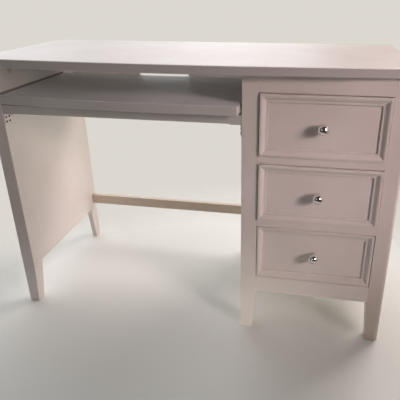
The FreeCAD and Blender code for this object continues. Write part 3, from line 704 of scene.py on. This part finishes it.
def cross_head_screw(name, head_radius, head_height, shank_radius, shank_length, tip_length):
    """A pan-head screw with its shoulder at the origin and its head facing up."""
    start_clean()
    bpy.ops.mesh.primitive_cylinder_add(
        vertices=SCREW_SIDES, radius=head_radius, depth=head_height, location=(0, 0, head_height / 2)
    )
    screw = settle(bpy.context.object, name)
    pick_faces(screw, looks_up)
    bpy.ops.mesh.bevel(offset=head_height * PAN_BEVEL_SHARE, segments=4, affect="EDGES")
    leave_edit()
    pick_faces(screw, looks_down)
    bpy.ops.mesh.inset(thickness=head_radius - shank_radius)
    bpy.ops.mesh.extrude_region_move(TRANSFORM_OT_translate={"value": (0, 0, tip_length - shank_length)})
    bpy.ops.mesh.extrude_region_move(TRANSFORM_OT_translate={"value": (0, 0, -tip_length)})
    bpy.ops.transform.resize(value=TIP_TAPER)
    leave_edit()
    length = head_radius * RECESS_LENGTH_SHARE
    cross_recess(screw, length, head_radius * RECESS_WIDTH_SHARE, head_height * RECESS_DEPTH_SHARE, head_height)
    return screw


wood_screw = cross_head_screw(
    "wood_screw", head_radius=0.0028, head_height=0.0016, shank_radius=0.0015, shank_length=0.012, tip_length=0.004
)
knob_bolt = cross_head_screw(
    "knob_bolt", head_radius=0.004, head_height=KNOB_BOLT_HEAD, shank_radius=0.002, shank_length=0.023, tip_length=0.001
)
print("screws:", wood_screw.name, knob_bolt.name)

# %% [markdown]
# Each bracket under the tray's front rail has four screws through its upright leaf and two through its shelf. A hand
# stops a screw where it bites, so no two crosses stand at the same angle, and each copy gets its own turn.

# %% Set the bracket screws
LEAF_GAUGE = 0.002
SCREW_MARGIN = 0.006
SCREW_SPACING = 0.012
TURN_STEP = math.radians(37)

screw_spots = []
for bracket, hand in (("left_rail_bracket", 1), ("right_rail_bracket", -1)):
    low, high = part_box(bracket)
    wall, free = (low.x, high.x) if hand > 0 else (high.x, low.x)
    for y in (low.y + SCREW_MARGIN, low.y + SCREW_MARGIN + SCREW_SPACING):
        for z in (low.z + SCREW_MARGIN, low.z + SCREW_MARGIN + SCREW_SPACING):
            screw_spots.append(((wall + LEAF_GAUGE * hand, y, z), (hand, 0, 0)))
        screw_spots.append(((free - SCREW_MARGIN * hand, y, high.z - LEAF_GAUGE), (0, 0, -1)))
bracket_screws = [
    copy_to(wood_screw, f"bracket_screw_{number}", spot, outward, number * TURN_STEP)
    for number, (spot, outward) in enumerate(screw_spots)
]
bracket_screw_set = join_all(bracket_screws, "bracket_screw_set")
finish_piece(bracket_screw_set, black, "desk")
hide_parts("bracket_screws")
remove(wood_screw)

# %% [markdown]
# A longer bolt runs through each drawer front into its knob. Its head shows inside the drawer, in the middle of the
# front. The CAD piece says where it is, so the copy takes its place from that box.

# %% Set the knob bolts
for drawer in (1, 2, 3):
    node = f"drawer_{drawer}_knob_screw"
    low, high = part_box(node)
    shoulder = ((low.x + high.x) / 2, high.y - KNOB_BOLT_HEAD, (low.z + high.z) / 2)
    bolt = copy_to(knob_bolt, f"drawer_{drawer}_knob_bolt", shoulder, (0, 1, 0), drawer * TURN_STEP)
    finish_piece(bolt, zinc, f"drawer_{drawer}")
    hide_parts(node)
remove(knob_bolt)

# %% [markdown]
# The top is drawn down onto the end panels by cam locks: short drums let into the panels, turned with a driver. Each
# shows a round face with a chamfered rim, a shallow dish and a cross. The drum is a cylinder whose face is bevelled,
# inset and pushed in before the cross is cut.

# %% Model a cam lock
cams_low, cams_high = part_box("cam_locks")
CAM_SIDES = 48
CAM_RADIUS = (cams_high.z - cams_low.z) / 2
CAM_DEPTH = 0.012
CAM_DISH = 0.0008
CAM_RIM = 0.0016
CAM_CROSS_LENGTH = CAM_RADIUS * 1.1
CAM_CROSS_WIDTH = CAM_RADIUS * 0.24
CAM_CROSS_DEPTH = 0.004

start_clean()
bpy.ops.mesh.primitive_cylinder_add(
    vertices=CAM_SIDES, radius=CAM_RADIUS, depth=CAM_DEPTH, location=(0, 0, -CAM_DEPTH / 2)
)
cam = settle(bpy.context.object, "cam_lock")
pick_faces(cam, looks_up)
bpy.ops.mesh.bevel(offset=CAM_DISH, segments=2, affect="EDGES")
leave_edit()
pick_faces(cam, looks_up)
bpy.ops.mesh.inset(thickness=CAM_RIM)
bpy.ops.mesh.extrude_region_move(TRANSFORM_OT_translate={"value": (0, 0, -CAM_DISH)})
leave_edit()
cross_recess(cam, CAM_CROSS_LENGTH, CAM_CROSS_WIDTH, CAM_CROSS_DEPTH, -CAM_DISH)
print("cam:", round(2 * CAM_RADIUS, 4), "m across")

# %% [markdown]
# Two cams hold each of the three panels that carry the top. Their faces lie flush with the panel's inner side, and
# their height and their distance from front to back come from the box of the CAD piece.

# %% Set the cam locks
cam_height = (cams_low.z + cams_high.z) / 2
cam_faces = (
    (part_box("left_end_panel")[1].x, 1),
    (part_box("pedestal_left_panel")[1].x, 1),
    (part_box("pedestal_right_panel")[0].x, -1),
)
cam_copies = []
for x, hand in cam_faces:
    for y in (cams_low.y + CAM_RADIUS, cams_high.y - CAM_RADIUS):
        turn = len(cam_copies) * TURN_STEP
        cam_copies.append(copy_to(cam, f"cam_lock_{len(cam_copies)}", (x, y, cam_height), (hand, 0, 0), turn))
cam_lock_set = join_all(cam_copies, "cam_lock_set")
finish_piece(cam_lock_set, zinc, "desk")
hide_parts("cam_locks")
remove(cam)

# %% [markdown]
# The thin back board is held to the pedestal by panel pins, driven every few inches round its edge. A pin is a narrow
# cylinder with a domed head, and only the head stands out of the board.

# %% Pin the back board
PIN_SIDES = 16
PIN_RADIUS = 0.0019
PIN_HEAD = 0.0007
PIN_LENGTH = 4 * PIN_HEAD
PIN_EDGE = 0.008
PINS_DOWN = 8
PINS_ACROSS = 4

start_clean()
bpy.ops.mesh.primitive_cylinder_add(
    vertices=PIN_SIDES, radius=PIN_RADIUS, depth=PIN_LENGTH, location=(0, 0, PIN_HEAD - PIN_LENGTH / 2)
)
pin = settle(bpy.context.object, "panel_pin")
pick_faces(pin, looks_up)
bpy.ops.mesh.bevel(offset=PIN_HEAD, segments=3, affect="EDGES")
leave_edit()

low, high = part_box("pedestal_back_board")
pin_spots = []
for step in range(PINS_DOWN):
    z = low.z + PIN_EDGE + (high.z - low.z - 2 * PIN_EDGE) * step / (PINS_DOWN - 1)
    pin_spots += [(low.x + PIN_EDGE, high.y, z), (high.x - PIN_EDGE, high.y, z)]
for step in range(1, PINS_ACROSS + 1):
    x = low.x + (high.x - low.x) * step / (PINS_ACROSS + 1)
    pin_spots += [(x, high.y, low.z + PIN_EDGE), (x, high.y, high.z - PIN_EDGE)]
pins = [copy_to(pin, f"pin_{number}", spot, (0, 1, 0), 0) for number, spot in enumerate(pin_spots)]
back_board_pins = join_all(pins, "back_board_pins")
finish_piece(back_board_pins, zinc, "desk")
remove(pin)

# %% [markdown]
# The photograph was taken from right of the middle and a little above the top, looking down. The lens and the place
# come from fitting the desk's known corners to the picture. The photograph is a crop whose middle isn't the lens's
# middle, so the camera is shifted by that much and no more.

# %% Camera
PHOTO_SIDE = 400
FOCAL_PIXELS = 430.73
LENS_MIDDLE = (231.86, 160.57)
SENSOR_WIDTH = 36
CAMERA_PLACE = (0.2923, -1.1832, 0.9219)
CAMERA_PITCH, CAMERA_YAW, CAMERA_ROLL = 0.3807, -0.1692, -0.0036

bpy.ops.object.camera_add(location=CAMERA_PLACE)
camera = bpy.context.object
camera.name = "photo_camera"
aimed = Euler((math.pi / 2 - CAMERA_PITCH, 0, -CAMERA_YAW)).to_matrix() @ Matrix.Rotation(CAMERA_ROLL, 3, "Z")
camera.rotation_euler = aimed.to_euler()
camera.data.sensor_width = SENSOR_WIDTH
camera.data.lens = FOCAL_PIXELS * SENSOR_WIDTH / PHOTO_SIDE
camera.data.shift_x = (PHOTO_SIDE / 2 - LENS_MIDDLE[0]) / PHOTO_SIDE
camera.data.shift_y = (LENS_MIDDLE[1] - PHOTO_SIDE / 2) / PHOTO_SIDE
camera.data.dof.use_dof = False
bpy.context.scene.camera = camera
print("lens:", round(camera.data.lens, 2), "mm")

# %% [markdown]
# The studio is a pale floor that fades into an even backdrop, so no line shows where they meet. The floor is one disc
# whose shader turns clear towards its rim, and the backdrop is the world's own colour.

# %% Floor
FLOOR_SIDES = 128
FLOOR_RADIUS = 2.6
FLOOR_MIDDLE = (0.0, -0.25, 0.0)
FADE_FROM, FADE_TO = 0.62, 1.02
FLOOR_PALE = (0.925, 0.96, 0.935, 1)
FLOOR_SHADE = (0.895, 0.93, 0.905, 1)

start_clean()
bpy.ops.mesh.primitive_circle_add(
    vertices=FLOOR_SIDES, radius=FLOOR_RADIUS, fill_type="NGON", location=FLOOR_MIDDLE
)
floor = settle(bpy.context.object, "studio_floor")
paper, tree, shader = new_finish("studio_paper")
place = object_place(tree)
cloud = noise(tree, place, Scale=2.5, Detail=2)
fill(tree, shader.inputs["Base Color"], blend_colour(tree, cloud, FLOOR_PALE, FLOOR_SHADE))
shader.inputs["Roughness"].default_value = 0.7
shader.inputs["Specular IOR Level"].default_value = 0.2
reach = combine(tree, "ShaderNodeVectorMath", "DISTANCE", place, FLOOR_MIDDLE)
clear = tree.nodes.new("ShaderNodeBsdfTransparent")
fade = add(tree, "ShaderNodeMixShader", Fac=spread(tree, reach, FADE_FROM, FADE_TO))
tree.links.new(shader.outputs["BSDF"], fade.inputs[1])
tree.links.new(clear.outputs["BSDF"], fade.inputs[2])
output = next(one for one in tree.nodes if one.type == "OUTPUT_MATERIAL")
tree.links.new(fade.outputs["Shader"], output.inputs["Surface"])
floor.data.materials.append(paper)
print("floor:", floor.name)

# %% [markdown]
# Light in the photograph comes mostly from behind the desk. It shines along the top, throws the desk's shadow forward
# and leaves the fronts in soft shade. A smaller light at the right, narrowed to the drawers, throws the knobs' shadows
# to the left, and a faint one fills in from the front. Two weak, narrow ones reach what these leave too dark: the left
# end of the tray's bay and the pedestal's left foot. Soft area lights stand for all of them. A narrow light keeps its
# power, so it needs far fewer watts than a wide one.

# %% Lights
MIDDLE_OF_DESK = (0.1, -0.05, 0.5)
ALL_ROUND = 180
LIGHTS = {
    "behind_right": {
        "place": (1.6, 1.75, 2.3), "aim": MIDDLE_OF_DESK, "size": 1.5, "spread": ALL_ROUND,
        "watts": 53, "colour": (1, 0.86, 0.82),
    },
    "right": {
        "place": (1.77, -1.01, 1.18), "aim": (0.66, -0.22, 0.67), "size": 0.8, "spread": 32,
        "watts": 1.8, "colour": (1, 0.785, 0.795),
    },
    "front_left": {
        "place": (-1.2, -2.4, 1.4), "aim": MIDDLE_OF_DESK, "size": 1.6, "spread": ALL_ROUND,
        "watts": 2.4, "colour": (1, 0.98, 0.93),
    },
    "into_bay": {
        "place": (1.3, -1.55, 0.85), "aim": (-0.6, -0.1, 0.72), "size": 0.6, "spread": 18,
        "watts": 0.145, "colour": (1, 0.97, 0.94),
    },
    "low_left": {
        "place": (-0.35, -1.6, 0.16), "aim": (0.2, -0.2, 0.02), "size": 0.2, "spread": 20,
        "watts": 0.11, "colour": (1, 1, 0.88),
    },
}

for name, light in LIGHTS.items():
    bpy.ops.object.light_add(type="AREA", location=light["place"])
    lamp = bpy.context.object
    lamp.name = name
    lamp.data.shape = "SQUARE"
    lamp.data.size = light["size"]
    lamp.data.spread = math.radians(light["spread"])
    lamp.data.energy = light["watts"]
    lamp.data.color = light["colour"]
    toward = Vector(light["aim"]) - Vector(light["place"])
    lamp.rotation_euler = toward.to_track_quat("-Z", "Y").to_euler()
print("lights:", list(LIGHTS))

# %% [markdown]
# The world gives the rest of the light. It is bright behind the desk and nearly dark in front of it, and the polished
# knobs mirror that. The top is seen at so low an angle that its paint mirrors the lowest part of the world, so an even
# world would leave it flat. The low part is therefore uneven: bright at the left, with a weaker stretch in it, and dim
# behind the drawers. A Color Ramp holds its brightness, stop by stop, by how far a direction leans to the right.

# %% Light from the world
COOL_GLOW = (0.94, 1.0, 1.05)
WARM_GLOW = (1.0, 0.95, 0.79)
HIGH_GLOW = (1.63, 1.585, 1.57, 1)
HIGH_DIM = (0.0, 0.0, 0.0, 1)
FRONT_GLOW = (0.055, 0.041, 0.034, 1)
LOW_BRIGHTNESS = {-0.9: 2.2, -0.6: 1.7, -0.45: 0.9, -0.2: 1.7, -0.03: 1.45, 0.08: 0.3, 0.2: 0.05, 0.45: 0.9}
LOW_BELOW, HIGH_ABOVE = 0.15, 0.45
BRIGHT_LEFT, DIM_RIGHT = -0.2, 0.3
DARK_BEFORE, BRIGHT_BEHIND = -0.35, 0.55

world = bpy.data.worlds.new("studio")
bpy.context.scene.world = world
world.use_nodes = True
tree = world.node_tree
tree.nodes.clear()
heading = parts_of(tree, tree.nodes.new("ShaderNodeTexCoord").outputs["Generated"])
leftmost, rightmost = min(LOW_BRIGHTNESS), max(LOW_BRIGHTNESS)
low_glow = add(tree, "ShaderNodeValToRGB", Fac=spread(tree, heading["X"], leftmost, rightmost))
stops = low_glow.color_ramp.elements
for lean, brightness in LOW_BRIGHTNESS.items():
    if lean == leftmost:
        stop = stops[0]
    elif lean == rightmost:
        stop = stops[-1]
    else:
        stop = stops.new((lean - leftmost) / (rightmost - leftmost))
    tint = COOL_GLOW if lean < 0 else WARM_GLOW
    stop.color = [brightness * part for part in tint] + [1]
high_glow = blend_colour(tree, spread(tree, heading["X"], BRIGHT_LEFT, DIM_RIGHT), HIGH_GLOW, HIGH_DIM)
risen = spread(tree, heading["Z"], LOW_BELOW, HIGH_ABOVE)
behind = blend_colour(tree, risen, low_glow.outputs["Color"], high_glow)
around = blend_colour(tree, spread(tree, heading["Y"], DARK_BEFORE, BRIGHT_BEHIND), FRONT_GLOW, behind)
print("world:", world.name, "with", len(stops), "stops in its low part")

# %% [markdown]
# The camera itself sees only a plain backdrop. Light Path tells a ray that comes from the camera from all the others,
# so the world can light the desk in one way and look another way behind it.

# %% Backdrop
BACKDROP = (0.716, 0.687, 0.631, 1)

seen = add(tree, "ShaderNodeBackground", Color=BACKDROP, Strength=1.0)
filling = add(tree, "ShaderNodeBackground", Color=around, Strength=1.0)
ray = tree.nodes.new("ShaderNodeLightPath")
choose = add(tree, "ShaderNodeMixShader", Fac=ray.outputs["Is Camera Ray"])
tree.links.new(filling.outputs["Background"], choose.inputs[1])
tree.links.new(seen.outputs["Background"], choose.inputs[2])
add(tree, "ShaderNodeOutputWorld", Surface=choose.outputs["Shader"])
bpy.context.scene.view_settings.view_transform = "Standard"
print("backdrop:", BACKDROP[:3])
